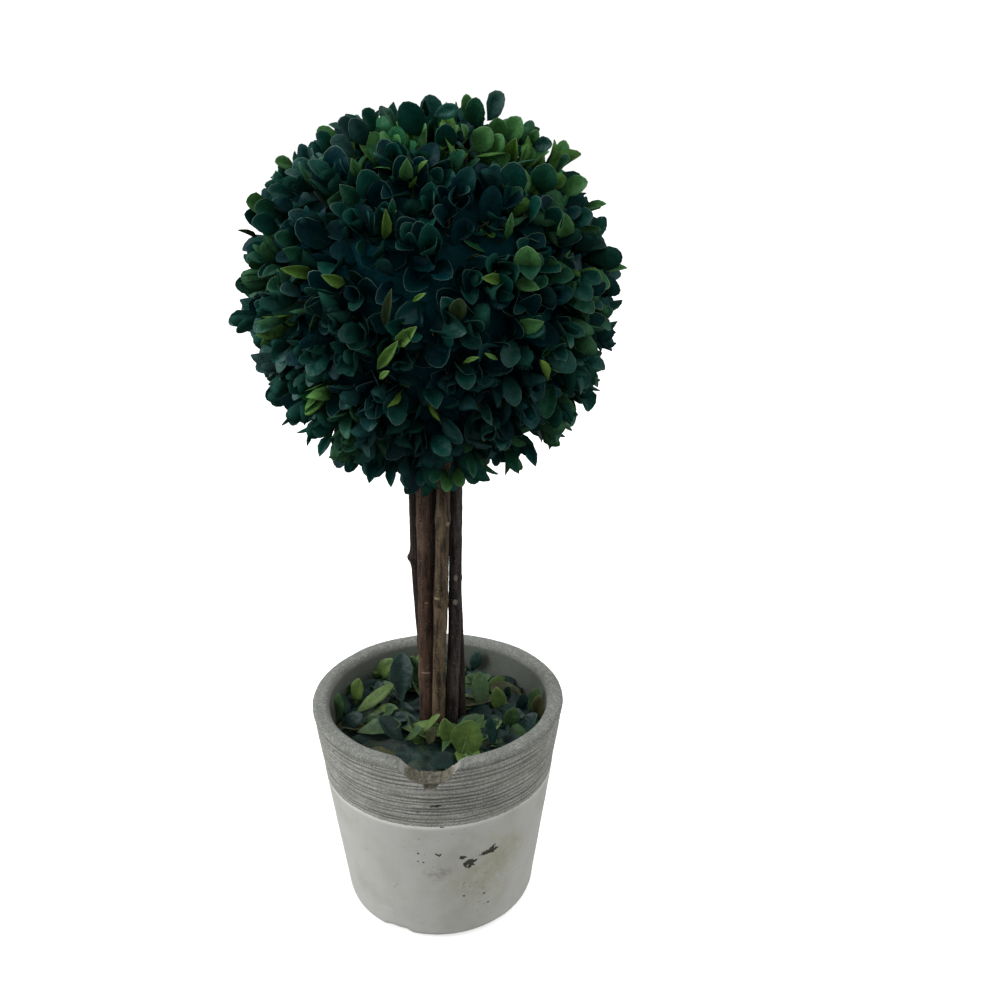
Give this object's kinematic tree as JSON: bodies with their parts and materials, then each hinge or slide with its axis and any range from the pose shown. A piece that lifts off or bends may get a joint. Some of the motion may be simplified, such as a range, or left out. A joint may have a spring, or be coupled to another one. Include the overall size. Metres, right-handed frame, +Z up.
{
  "type": "potted boxwood ball topiary",
  "caption": "Clipped ball of preserved boxwood leaves on a bundle of bark-covered sticks, in a round tapered concrete pot with a grooved grey band, white paint below it and a chipped rim.",
  "frame": {"origin": "middle of the pot's flat underside", "axes": "+Z up through the pot, sticks and ball; the front, with the chip in the rim, faces -Y"},
  "size_m": [0.1543, 0.1579, 0.3782],
  "materials": {
    "concrete": "matte cast concrete, its lower part painted white",
    "foam": "dry matte foam",
    "dry_leaves": "loose preserved leaves, slightly glossy",
    "bark": "rough dry bark",
    "foliage": "waxy leaves, slightly glossy"
  },
  "bodies": {
    "root": {"pot": "concrete", "foam_block": "foam", "leaf_bed": "dry_leaves", "stick_back_left": "bark", "stick_front_left": "bark", "stick_front": "bark", "stick_right": "bark", "stick_back_right": "bark", "stick_back": "bark", "boxwood_ball": "foliage"}
  },
  "joints": []
}
